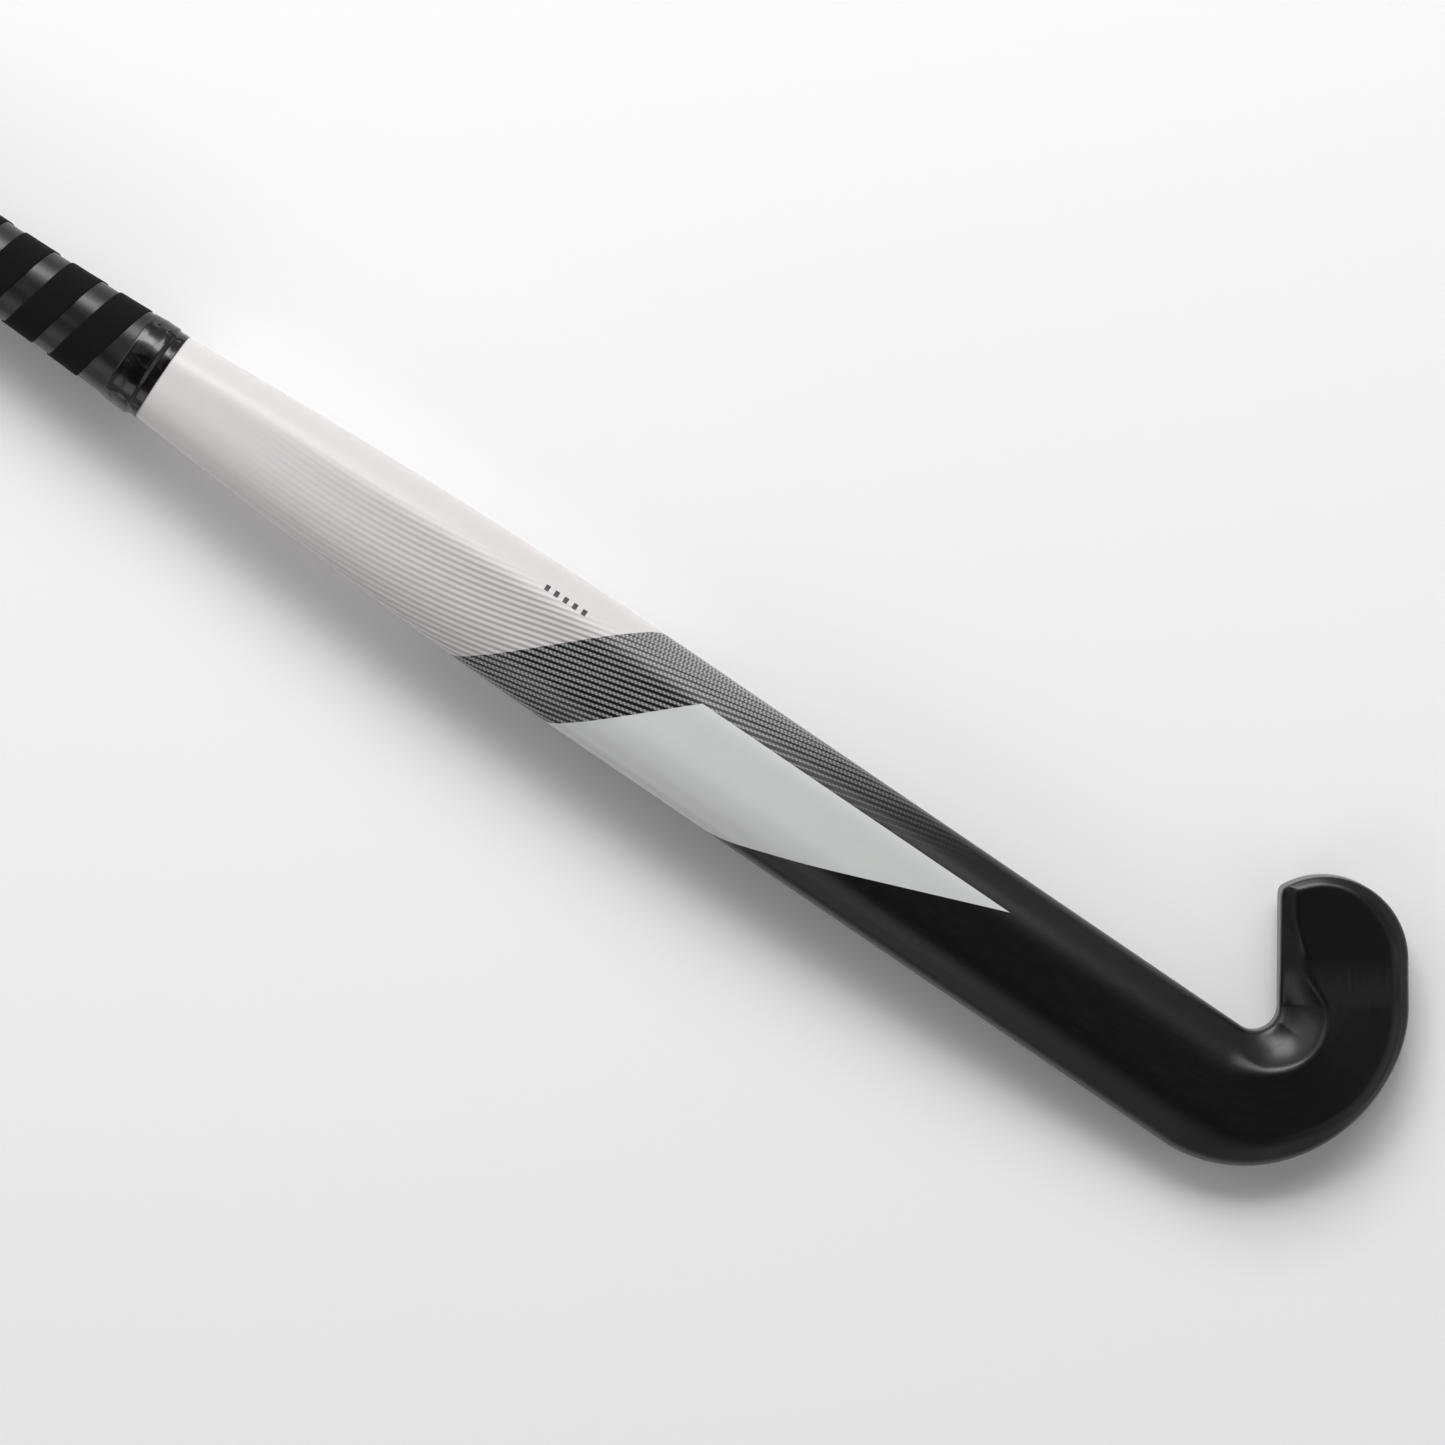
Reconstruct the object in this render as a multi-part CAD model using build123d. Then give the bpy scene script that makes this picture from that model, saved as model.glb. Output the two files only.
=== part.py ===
from build123d import *
import os
from math import atan, cos, degrees, hypot, pi, radians, sin, sqrt, tan

# Composite field hockey stick, junior 30 inch size.
# Layout frame while building: X runs from the butt (0) to the base of the head, Y points to the
# toe, Z points out of the rounded back. The flat playing face looks down. At the end everything
# is moved so that the stick's box is centred on the origin with its lowest point at Z = 0.

# ---- driving dimensions, millimetres and degrees ----
stick_length = 762.0        # butt cap to the base of the head
grip_length = 301.0         # butt to the end of the finishing tape
handle_flare_length = 75.0  # last stretch of the handle, where it widens under the grip
handle_flare_power = 1.6
shaft_flare_length = 190.0  # stretch below the grip over which the shaft reaches its full width

handle_width = 25.4
grip_end_width = 31.0
shaft_width = 45.8
handle_thickness = 22.5
shaft_thickness = 20.0

bow_depth = 19.0            # gap under the face at the bow's highest point
bow_peak_from_base = 280.0
flat_head_length = 80.0     # straight stretch of the face up from the head's base

hook_turn = 124.1           # how far the head turns from the shaft's line to the toe's line
hook_inner_radius = 7.9
base_reach = 49.2           # centre of the hook's bend to the head's base
toe_width = 42.3
toe_inner_length = 38.8     # straight inner edge of the toe
toe_end_radius = 27.7
base_thickness = 21.0
toe_thickness = 17.5

handle_bevel = 5.9          # plan width of each sloping side of the back
shaft_bevel = 11.1
heel_bevel = 6.9
base_bevel = 3.3
toe_bevel = 4.6
hook_scoop_width = 16.0     # plan width of the hollow along the hook's inner edge
toe_scoop_width = 8.0
hook_scoop_hollow = 1.5     # how deep the scoop is dished
handle_drop = 6.0           # height lost over each sloping side
shaft_drop = 7.0
base_drop = 3.2
toe_drop = 3.6
hook_scoop_drop = 9.5
toe_scoop_drop = 5.0

handle_face_round = 8.0     # corner radii: edge of the face, edge of the side, edge of the plateau
shaft_face_round = 4.0
head_face_round = 2.8
handle_side_round = 7.0
shaft_side_round = 6.0
head_side_round = 2.6
handle_back_round = 8.0
head_back_round = 3.0
smallest_round = 0.4

laminate_wall = 2.2
bond_gap = 0.15             # glue line between nested inner pieces
tube_wall = 1.1
bladder_wall = 0.5
core_length = 105.0         # foam core's reach up the shaft from the head's base
core_joint_gap = 0.3        # between the ends of the tubes and the core
edge_strip_thickness = 1.2
edge_strip_low = 4.6
edge_strip_high = 9.6
face_plate_thickness = 0.7
face_plate_margin = 5.0
face_plate_top = 74.0       # plate's reach up the shaft from the head's base

cap_thickness = 3.0
cap_edge_round = 1.2
plug_length = 32.0
spigot_radius = 4.0
spigot_length = 9.0
spigot_clearance = 0.15

wrap_gap = 0.05             # adhesive film under each layer of the grip
ribbon_thickness = 0.85
ribbon_end_setback = 4.1    # ribbon's end to the end of the finishing tape
ridge_thickness = 0.35
ridge_width = 11.6
ridge_pitch = 18.3
ridge_end_setback = 20.6    # middle of the ridge's last turn to the end of the finishing tape
tape_width = 13.6
tape_thickness = 0.22
ridge_sections_per_turn = 36
ridge_gap = 0.12            # adhesive film under the raised band

# ---- the stick's line ----
ribbon_growth = wrap_gap + ribbon_thickness
grip_growth = ribbon_growth + ridge_gap + ridge_thickness
bow_reach = bow_peak_from_base - flat_head_length
head_curve = (bow_reach**2 / 2 + bow_reach * flat_head_length) / bow_depth
peak_x = stick_length - bow_peak_from_base
flat_start = stick_length - flat_head_length
shaft_reach = peak_x - grip_length
handle_curve = (shaft_reach**2 / 2 + shaft_reach * grip_length) / (bow_depth - grip_growth)
head_slope = atan(bow_reach / head_curve)
handle_slope = atan(shaft_reach / handle_curve)
butt_x = (handle_thickness + grip_growth) * sin(handle_slope)
cap_seat = butt_x + cap_thickness + bond_gap

base_lean = (base_thickness - base_drop - head_side_round) * sin(head_slope)
bend_x = stick_length - base_reach * cos(head_slope) - base_lean
bend_y = shaft_width / 2 + hook_inner_radius
bend_end = radians(hook_turn - 90)
base_width = base_reach - hook_inner_radius
toe_axis_across = toe_width - toe_end_radius
toe_axis_along = toe_inner_length - sqrt(toe_end_radius**2 - toe_axis_across**2)


def face_height(x):
    """Height of the playing face's line: straight handle, two gentle curves, straight head."""
    if x < grip_length:
        return bow_depth - (shaft_reach**2 / 2 + shaft_reach * (grip_length - x)) / handle_curve
    if x < peak_x:
        return bow_depth - (peak_x - x) ** 2 / (2 * handle_curve)
    if x < flat_start:
        return bow_depth - (x - peak_x) ** 2 / (2 * head_curve)
    return bow_depth - (bow_reach**2 / 2 + bow_reach * (x - flat_start)) / head_curve


def face_slope(x):
    if x < grip_length:
        return shaft_reach / handle_curve
    if x < peak_x:
        return (peak_x - x) / handle_curve
    return -min(x - peak_x, bow_reach) / head_curve


def shaft_plane(x):
    """Plane across the shaft: local x to the toe side, local y out of the back."""
    slope = atan(face_slope(x))
    return Plane(
        origin=(x, 0, face_height(x)),
        x_dir=(0, 1, 0),
        z_dir=(cos(slope), 0, sin(slope)),
    )


head_plane = Plane(
    origin=(bend_x, bend_y, face_height(bend_x)),
    x_dir=(cos(head_slope), 0, -sin(head_slope)),
    z_dir=(sin(head_slope), 0, cos(head_slope)),
)


def head_section_plane(angle, along, middle):
    """Plane across the hook at an angle round its bend, or further along the straight toe."""
    out = Vector(cos(angle), sin(angle), 0)
    ahead = Vector(-sin(angle), cos(angle), 0)
    spot = out * (hook_inner_radius + middle) + ahead * along
    inward = head_plane.from_local_coords(spot - out) - head_plane.from_local_coords(spot)
    onward = head_plane.from_local_coords(spot + ahead) - head_plane.from_local_coords(spot)
    return Plane(origin=head_plane.from_local_coords(spot), x_dir=inward, z_dir=onward)


# ---- cross-sections ----
def mix(a, b, share):
    return a + (b - a) * share


def eased(keys, place):
    """Value at a place on a list of (place, value) keys, with a smooth step between them."""
    for (low, first), (high, second) in zip(keys, keys[1:]):
        if place <= high:
            share = max(0.0, (place - low) / (high - low))
            return mix(first, second, share * share * (3 - 2 * share))
    return keys[-1][1]


def shaft_width_at(x):
    if x < grip_length:
        share = max(0.0, 1 - (grip_length - x) / handle_flare_length)
        return mix(handle_width, grip_end_width, share**handle_flare_power)
    left = max(0.0, 1 - (x - grip_length) / shaft_flare_length)
    return mix(shaft_width, grip_end_width, left**2)


def shaft_shape(x):
    width = shaft_width_at(x)
    share = (width - handle_width) / (shaft_width - handle_width)
    bevel = mix(handle_bevel, shaft_bevel, share)
    drop = mix(handle_drop, shaft_drop, share)
    side_round = mix(handle_side_round, shaft_side_round, share)
    return dict(
        width=width,
        thickness=mix(handle_thickness, shaft_thickness, share),
        outer_bevel=bevel,
        inner_bevel=bevel,
        outer_drop=drop,
        inner_drop=drop,
        hollow=0.0,
        face_round=mix(handle_face_round, shaft_face_round, share),
        outer_round=side_round,
        inner_round=side_round,
        back_round=handle_back_round,
    )


def head_shape(angle, along):
    """Cross-section sizes round the hook (by angle) and then along the toe."""
    place = (angle + pi / 2) / (bend_end + pi / 2) + along / toe_axis_along
    heel, base, root, end = (0.36, 0.725, 1.0, 2.0)
    return dict(
        width=eased([(0, shaft_width), (base, base_width), (root, toe_width)], place),
        thickness=eased([(0, shaft_thickness), (base, base_thickness), (end, toe_thickness)], place),
        outer_bevel=eased([(0, shaft_bevel), (heel, heel_bevel), (base, base_bevel), (root, toe_bevel)], place),
        inner_bevel=eased([(0, shaft_bevel), (base, hook_scoop_width), (end, toe_scoop_width)], place),
        outer_drop=eased([(0, shaft_drop), (base, base_drop), (root, toe_drop)], place),
        inner_drop=eased([(0, shaft_drop), (base, hook_scoop_drop), (end, toe_scoop_drop)], place),
        hollow=eased([(0, 0.0), (base, hook_scoop_hollow), (end, 0.0)], place),
        face_round=eased([(0, shaft_face_round), (heel, head_face_round)], place),
        outer_round=eased([(0, shaft_side_round), (base, head_side_round)], place),
        inner_round=eased([(0, shaft_side_round), (heel, head_side_round)], place),
        back_round=eased([(0, handle_back_round), (heel, head_back_round)], place),
    )


def outline_of(shape):
    """Corners and corner radii of a cross-section, counter-clockwise, the face's line at y = 0."""
    side = shape["width"] / 2
    top = shape["thickness"]
    corners = [
        (-side, 0.0),
        (side, 0.0),
        (side, top - shape["inner_drop"]),
        (side - shape["inner_bevel"], top),
        (shape["outer_bevel"] - side, top),
        (-side, top - shape["outer_drop"]),
    ]
    rounds = [
        shape["face_round"],
        shape["face_round"],
        shape["inner_round"],
        shape["back_round"],
        shape["back_round"],
        shape["outer_round"],
    ]
    return corners, rounds


def grown(corners, rounds, growth):
    """The same outline with every side moved outwards by growth (inwards when negative)."""
    count = len(corners)
    normals = []
    for (ax, ay), (bx, by) in zip(corners, corners[1:] + corners[:1]):
        length = hypot(bx - ax, by - ay)
        normals.append(((by - ay) / length, (ax - bx) / length))
    moved = []
    for i in range(count):
        (px, py), (qx, qy) = normals[i - 1], normals[i]
        spread = growth / (1 + px * qx + py * qy)
        moved.append((corners[i][0] + (px + qx) * spread, corners[i][1] + (py + qy) * spread))
    return moved, [max(smallest_round, r + growth) for r in rounds]


def half_of(corners, rounds, side, gap, corner_round):
    """The toe-side (side = 1) or heel-side (side = -1) half of a six-cornered outline."""
    cut = side * gap / 2
    low, top = corners[0][1], corners[3][1]
    if side > 0:
        return [(cut, low), *corners[1:4], (cut, top)], [corner_round, *rounds[1:4], corner_round]
    return (
        [corners[0], (cut, low), (cut, top), *corners[4:6]],
        [rounds[0], corner_round, corner_round, *rounds[4:6]],
    )


def rounded_wire(plane, corners, rounds, hollow_side=None, hollow=0.0):
    """Closed wire of straight sides and corner arcs; one side can be dished by a shallow arc."""
    count = len(corners)
    trims = []
    for i in range(count):
        here = Vector(*corners[i])
        back = (Vector(*corners[i - 1]) - here).normalized()
        ahead = (Vector(*corners[(i + 1) % count]) - here).normalized()
        half = radians(back.get_angle(ahead)) / 2
        reach = rounds[i] / tan(half)
        bisector = (back + ahead).normalized()
        nearest = here + bisector * (rounds[i] / sin(half) - rounds[i])
        trims.append((here + back * reach, nearest, here + ahead * reach))
    edges = []
    for i in range(count):
        start, nearest, end = (plane.from_local_coords(p) for p in trims[i])
        edges.append(Edge.make_three_point_arc(start, nearest, end))
        following = plane.from_local_coords(trims[(i + 1) % count][0])
        if i == hollow_side and hollow > 0:
            middle = (end + following) * 0.5
            across = (following - end).normalized()
            dished = middle + across.cross(plane.z_dir) * -hollow
            edges.append(Edge.make_three_point_arc(end, dished, following))
        else:
            edges.append(Edge.make_line(end, following))
    return Wire(edges)


scoop_side = 2              # index of the outline's side from the inner edge to the plateau


def shell_wire(plane, shape, growth, strip_room=0.0):
    corners, rounds = outline_of(shape)
    corners, rounds = grown(corners, rounds, growth)
    if strip_room > 0:
        corners[0] = (corners[0][0] + strip_room, corners[0][1])
        corners[5] = (corners[5][0] + strip_room, corners[5][1])
        corners[4] = (corners[4][0] + strip_room, corners[4][1])
    return rounded_wire(plane, corners, rounds, scoop_side, shape["hollow"])


# ---- stations along the stick ----
flare_start = grip_length - handle_flare_length
full_width_start = grip_length + shaft_flare_length


def even_places(marks, step):
    """Places from the first mark to the last, evenly spaced between neighbouring marks."""
    places = [marks[0]]
    for low, high in zip(marks, marks[1:]):
        count = max(1, round((high - low) / step))
        places += [mix(low, high, i / count) for i in range(1, count + 1)]
    return places


hook_sections = 12
hook_angles = [mix(-pi / 2, bend_end, i / hook_sections) for i in range(1, hook_sections + 1)]
toe_places = [toe_axis_along * i / 2 for i in (1, 2)]


def head_stations():
    stations = []
    for angle, along in [(a, 0.0) for a in hook_angles] + [(bend_end, a) for a in toe_places]:
        shape = head_shape(angle, along)
        stations.append((head_section_plane(angle, along, shape["width"] / 2), shape))
    return stations


def lofted(stations, make_wire):
    return Solid.make_loft([make_wire(plane, shape) for plane, shape in stations])


def shaft_stations(places):
    return [(shaft_plane(x), shaft_shape(x)) for x in places]


def shaft_piece(make_wire, start, end):
    """Lofts of the straight handle, the bowed shaft and the straight neck, cut to their ends."""
    flare = even_places([flare_start, grip_length, full_width_start], 20.0)
    bowed = even_places([full_width_start, peak_x, flat_start], 25.0)[1:]
    spans = [[0.0, flare_start], flare + bowed, [flat_start, bend_x]]
    needed = [span for span in spans if span[0] < end and span[-1] > start]
    piece = lofted(shaft_stations(needed[0]), make_wire)
    for span in needed[1:]:
        piece = piece + lofted(shaft_stations(span), make_wire)
    if start > needed[0][0]:
        piece = split(piece, bisect_by=shaft_plane(start), keep=Keep.TOP)
    if end < needed[-1][-1]:
        piece = split(piece, bisect_by=shaft_plane(end), keep=Keep.BOTTOM)
    return piece


def stick_pieces(start, make_wire):
    """Lofts of the shaft, the hook and the straight part of the toe, joined into one solid."""
    head = head_stations()
    hook = shaft_stations([bend_x]) + head[:hook_sections]
    toe = head[hook_sections - 1:]
    return shaft_piece(make_wire, start, bend_x) + lofted(hook, make_wire) + lofted(toe, make_wire)


def toe_nose(growth, strip_room=0.0):
    """Rounded end of the toe: the edge's own section turned about the end arc's upright axis."""
    plane, shape = head_stations()[-1]
    section = Face(shell_wire(plane, shape, growth, strip_room))
    axis_place = shape["width"] / 2 - toe_axis_across
    tall = 3 * toe_thickness
    far = 3 * toe_width
    outer_block = plane * Pos(axis_place - far / 2, 0) * Rectangle(far, tall)
    outer_half = section & outer_block.face()
    turning = Axis(plane.from_local_coords((axis_place, 0, 0)), plane.y_dir)
    disc = revolve(outer_half, turning, 180)
    if disc.center().dot(plane.z_dir) < plane.origin.dot(plane.z_dir):
        disc = revolve(outer_half, turning, -180)
    reach = extrude(section + outer_block.face(), toe_end_radius + toe_width, dir=plane.z_dir)
    return disc & reach


def whole_stick(growth, start, strip_room=0.0):
    """The outer form, moved outwards by growth, from a place on the shaft to the toe's end."""
    def section(plane, shape):
        return shell_wire(plane, shape, growth, strip_room)
    return stick_pieces(start, section) + toe_nose(growth, strip_room)


def shaft_body(growth, start, end):
    """Solid of the shaft's form, moved outwards by growth, between two places."""
    return shaft_piece(lambda plane, shape: shell_wire(plane, shape, growth), start, end)


# ---- the shell and what is bonded to it ----
core_start = stick_length - core_length
inner_growth = -(laminate_wall + bond_gap)
strip_room = edge_strip_thickness + bond_gap


def face_outline(margin):
    """Plan outline of the head's flat face, kept inside the stick's edge by margin."""
    top_x = stick_length - face_plate_top + margin - face_plate_margin
    top = head_plane.to_local_coords(Vector(top_x, 0, face_height(top_x))).X
    inner_side = -hook_inner_radius - margin
    outer = [(top, margin - bend_y - shaft_width / 2)]
    for angle in [-pi / 2] + hook_angles:
        reach = hook_inner_radius + head_shape(angle, 0.0)["width"] - margin
        outer.append((reach * cos(angle), reach * sin(angle)))
    out = Vector(cos(bend_end), sin(bend_end))
    ahead = Vector(-sin(bend_end), cos(bend_end))
    axis = out * (hook_inner_radius + toe_axis_across) + ahead * toe_axis_along
    radius = toe_end_radius - margin
    arc_start = axis + out * radius
    across = toe_axis_across - margin
    turn = pi / 2 + atan(across / sqrt(radius**2 - across**2))
    arc_middle = axis + out * radius * cos(turn / 2) + ahead * radius * sin(turn / 2)
    arc_end = axis + out * radius * cos(turn) + ahead * radius * sin(turn)
    inner_reach = hook_inner_radius + margin
    bend_stop = out * inner_reach
    bend_middle = Vector(cos(bend_end / 2 - pi / 4), sin(bend_end / 2 - pi / 4)) * inner_reach
    edges = [
        Edge.make_line(outer[0], outer[1]),
        Edge.make_spline([Vector(*p) for p in outer[1:]], tangents=[Vector(1, 0), ahead]),
        Edge.make_line(outer[-1], arc_start),
        Edge.make_three_point_arc(arc_start, arc_middle, arc_end),
        Edge.make_line(arc_end, bend_stop),
        Edge.make_three_point_arc(bend_stop, bend_middle, (0, inner_side)),
        Edge.make_line((0, inner_side), (top, inner_side)),
        Edge.make_line((top, inner_side), outer[0]),
    ]
    return head_plane * Face(Wire(edges))


def face_slab(margin, depth):
    return extrude(face_outline(margin), depth, dir=head_plane.z_dir)


def make_outer_laminate():
    shell = whole_stick(0.0, cap_seat) - whole_stick(-laminate_wall, cap_seat)
    return shell - face_slab(face_plate_margin - bond_gap, face_plate_thickness + bond_gap)


def make_face_plate():
    return face_slab(face_plate_margin, face_plate_thickness)


def strip_wire(plane, shape):
    """Section of the strip that lies against the shell's inside along the outer edge."""
    edge = -inner_growth - shape["width"] / 2
    corners = [
        (edge, edge_strip_low),
        (edge + edge_strip_thickness, edge_strip_low),
        (edge + edge_strip_thickness, edge_strip_high),
        (edge, edge_strip_high),
    ]
    points = [plane.from_local_coords(c) for c in corners]
    return Wire([Edge.make_line(a, b) for a, b in zip(points, points[1:] + points[:1])])


def make_edge_strip():
    return stick_pieces(core_start + core_joint_gap, strip_wire)


def make_head_core():
    return whole_stick(inner_growth, core_start + core_joint_gap, strip_room)


# ---- the twin tubes moulded inside the shaft, each with its bladder ----
tube_corner_round = 2.0
tube_start = cap_seat + plug_length + core_joint_gap


def tube_body(side, growth, start, end):
    def section(plane, shape):
        corners, rounds = grown(*outline_of(shape), inner_growth)
        half = half_of(corners, rounds, side, bond_gap, tube_corner_round)
        return rounded_wire(plane, *grown(*half, growth))
    flare = even_places([start, flare_start, grip_length, full_width_start], 20.0)
    bowed = even_places([full_width_start, end], 25.0)[1:]
    return lofted(shaft_stations(flare + bowed), section)


def make_tube(side):
    closed_end = core_start - tube_wall
    return tube_body(side, 0.0, tube_start, core_start) - tube_body(side, -tube_wall, tube_start, closed_end)


def make_bladder(side):
    outside = -(tube_wall + bond_gap)
    start = tube_start + bond_gap
    end = core_start - tube_wall - bond_gap
    outer = tube_body(side, outside, start, end)
    return outer - tube_body(side, outside - bladder_wall, start, end - bladder_wall)


# ---- the butt ----
def butt_plane():
    plane = shaft_plane(butt_x)
    return Plane(origin=plane.from_local_coords((0, handle_thickness / 2, 0)), x_dir=plane.x_dir, z_dir=plane.z_dir)


def make_handle_plug():
    plug = shaft_body(inner_growth, cap_seat, cap_seat + plug_length)
    hole = Cylinder(spigot_radius + spigot_clearance, 2 * (cap_thickness + spigot_length + bond_gap))
    return plug - butt_plane() * hole


def make_butt_cap():
    disc = shaft_body(grip_growth, butt_x, butt_x + cap_thickness)
    disc = fillet(disc.faces().sort_by(Axis.X)[0].edges(), cap_edge_round)
    spigot = Cylinder(spigot_radius, cap_thickness + spigot_length, align=(Align.CENTER, Align.CENTER, Align.MIN))
    return disc + butt_plane() * spigot


# ---- the grip ----
ribbon_end = grip_length - ribbon_end_setback
tape_start = grip_length - tape_width


def make_grip_ribbon():
    return shaft_body(ribbon_growth, cap_seat, ribbon_end) - shaft_body(wrap_gap, cap_seat, ribbon_end)


def outline_reach(shape, growth, angle):
    """Distance from the section's middle to its outline in a direction round the shaft."""
    corners, rounds = grown(*outline_of(shape), growth)
    middle = Vector(0, shape["thickness"] / 2)
    ray = Vector(cos(angle), sin(angle))
    count = len(corners)
    reach = 1e9
    for i in range(count):
        here = Vector(*corners[i]) - middle
        onward = Vector(*corners[(i + 1) % count]) - Vector(*corners[i])
        normal = Vector(onward.Y, -onward.X).normalized()
        if ray.dot(normal) > 0:
            reach = min(reach, here.dot(normal) / ray.dot(normal))
    for i in range(count):
        here = Vector(*corners[i]) - middle
        back = (Vector(*corners[i - 1]) - Vector(*corners[i])).normalized()
        ahead = (Vector(*corners[(i + 1) % count]) - Vector(*corners[i])).normalized()
        half = radians(back.get_angle(ahead)) / 2
        centre = here + (back + ahead).normalized() * (rounds[i] / sin(half))
        along = centre.dot(ray)
        aside = abs(centre.dot(Vector(-ray.Y, ray.X)))
        if aside < rounds[i]:
            rim = along + sqrt(rounds[i] ** 2 - aside**2)
            toward = ray * rim - centre
            if toward.dot(back) < 0 and toward.dot(ahead) < 0:
                reach = min(reach, rim)
    return reach


def ridge_wire(turn):
    """Section of the raised spiral band at a number of turns back from its last turn."""
    angle = 2 * pi * turn
    points = []
    base = ribbon_growth + ridge_gap
    for across, growth in ((-0.5, base), (0.5, base), (0.5, grip_growth), (-0.5, grip_growth)):
        x = grip_length - ridge_end_setback - turn * ridge_pitch + across * ridge_width
        shape = shaft_shape(x)
        reach = outline_reach(shape, growth, angle)
        spot = (reach * cos(angle), shape["thickness"] / 2 + reach * sin(angle))
        points.append(shaft_plane(x).from_local_coords(spot))
    return Wire([Edge.make_line(a, b) for a, b in zip(points, points[1:] + points[:1])])


def make_ridge_strip():
    room = grip_length - ridge_end_setback - cap_seat - ridge_width
    turns = room / ridge_pitch
    first = 0.0
    pieces = []
    while first < turns:
        last = min(first + 1.0, turns)
        count = max(3, round((last - first) * ridge_sections_per_turn))
        wires = [ridge_wire(mix(first, last, i / count)) for i in range(count + 1)]
        pieces.append(Solid.make_loft(wires))
        first = last
    return pieces[0].fuse(*pieces[1:])


def make_finishing_tape():
    over_ribbon = shaft_body(ribbon_growth + wrap_gap + tape_thickness, tape_start, ribbon_end + tape_thickness)
    on_shaft = shaft_body(wrap_gap + tape_thickness, ribbon_end, grip_length)
    under_tape = shaft_body(ribbon_growth + wrap_gap, tape_start, ribbon_end + wrap_gap)
    return over_ribbon + on_shaft - under_tape - shaft_body(wrap_gap, tape_start, grip_length)


# ---- every separate piece under its node's name ----
nodes = {
    "outer_laminate": make_outer_laminate(),
    "face_plate": make_face_plate(),
    "edge_strip": make_edge_strip(),
    "head_core": make_head_core(),
    "front_tube": make_tube(1),
    "rear_tube": make_tube(-1),
    "front_bladder": make_bladder(1),
    "rear_bladder": make_bladder(-1),
    "handle_plug": make_handle_plug(),
    "butt_cap": make_butt_cap(),
    "grip_ribbon": make_grip_ribbon(),
    "grip_ridge_strip": make_ridge_strip(),
    "finishing_tape": make_finishing_tape(),
}

boxes = [shape.bounding_box() for shape in nodes.values()]
middle_x = (min(b.min.X for b in boxes) + max(b.max.X for b in boxes)) / 2
middle_y = (min(b.min.Y for b in boxes) + max(b.max.Y for b in boxes)) / 2
lowest = min(b.min.Z for b in boxes)
stand = Location((-middle_x, -middle_y, -lowest))
os.makedirs("parts", exist_ok=True)
for name, shape in nodes.items():
    export_step(shape.moved(stand), f"parts/{name}.step")
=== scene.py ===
import bpy
from math import atan, atan2, cos, pi, radians, sin, sqrt, tan
from mathutils import Matrix, Vector, noise


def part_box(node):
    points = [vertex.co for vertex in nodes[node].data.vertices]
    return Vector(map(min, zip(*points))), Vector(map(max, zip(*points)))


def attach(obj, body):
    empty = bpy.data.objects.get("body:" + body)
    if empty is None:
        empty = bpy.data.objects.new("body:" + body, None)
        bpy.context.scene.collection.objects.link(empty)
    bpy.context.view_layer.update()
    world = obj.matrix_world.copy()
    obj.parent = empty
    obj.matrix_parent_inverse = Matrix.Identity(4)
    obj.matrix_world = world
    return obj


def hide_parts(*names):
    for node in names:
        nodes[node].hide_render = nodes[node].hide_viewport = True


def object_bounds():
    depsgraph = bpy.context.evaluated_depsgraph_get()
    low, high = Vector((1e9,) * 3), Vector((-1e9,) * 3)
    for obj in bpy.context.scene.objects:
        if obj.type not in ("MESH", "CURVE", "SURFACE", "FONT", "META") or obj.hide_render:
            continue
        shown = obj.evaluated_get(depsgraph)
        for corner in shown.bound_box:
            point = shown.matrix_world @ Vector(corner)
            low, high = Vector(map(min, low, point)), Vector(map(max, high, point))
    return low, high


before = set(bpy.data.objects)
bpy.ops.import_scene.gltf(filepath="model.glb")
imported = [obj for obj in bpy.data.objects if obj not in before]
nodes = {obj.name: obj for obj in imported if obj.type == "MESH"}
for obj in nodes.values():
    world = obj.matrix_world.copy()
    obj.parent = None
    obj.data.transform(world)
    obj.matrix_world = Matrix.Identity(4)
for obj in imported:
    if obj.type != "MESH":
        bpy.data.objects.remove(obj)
cad_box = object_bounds()

MM = 0.001

# ---- sizes of the stick, in millimetres, as in the CAD model ----
stick_length = 762.0
grip_length = 301.0
handle_flare_length = 75.0
handle_flare_power = 1.6
shaft_flare_length = 190.0
handle_width = 25.4
grip_end_width = 31.0
shaft_width = 45.8
handle_thickness = 22.5
shaft_thickness = 20.0
bow_depth = 19.0
bow_peak_from_base = 280.0
flat_head_length = 80.0
hook_turn = 124.1
hook_inner_radius = 7.9
base_reach = 49.2
toe_width = 42.3
toe_inner_length = 38.8
toe_end_radius = 27.7
base_thickness = 21.0
toe_thickness = 17.5
handle_bevel = 5.9
shaft_bevel = 11.1
heel_bevel = 6.9
base_bevel = 3.3
toe_bevel = 4.6
hook_scoop_width = 16.0
toe_scoop_width = 8.0
hook_scoop_hollow = 1.5
handle_drop = 6.0
shaft_drop = 7.0
base_drop = 3.2
toe_drop = 3.6
hook_scoop_drop = 9.5
toe_scoop_drop = 5.0
handle_face_round = 8.0
shaft_face_round = 4.0
head_face_round = 2.8
handle_side_round = 7.0
shaft_side_round = 6.0
head_side_round = 2.6
handle_crown_round = 12.0      # the paint's softer round where the plateau turns into the bevels
shaft_crown_round = 20.0
head_crown_round = 6.0
scoop_crown_round = 3.0
toe_crown_round = 8.0
cap_thickness = 3.0
bond_gap = 0.15
wrap_gap = 0.05
ribbon_thickness = 0.85
ribbon_end_setback = 4.1
ridge_gap = 0.12
ridge_thickness = 0.35
ridge_width = 11.6
ridge_pitch = 18.3
ridge_end_setback = 20.6
tape_width = 13.6
tape_thickness = 0.22

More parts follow.
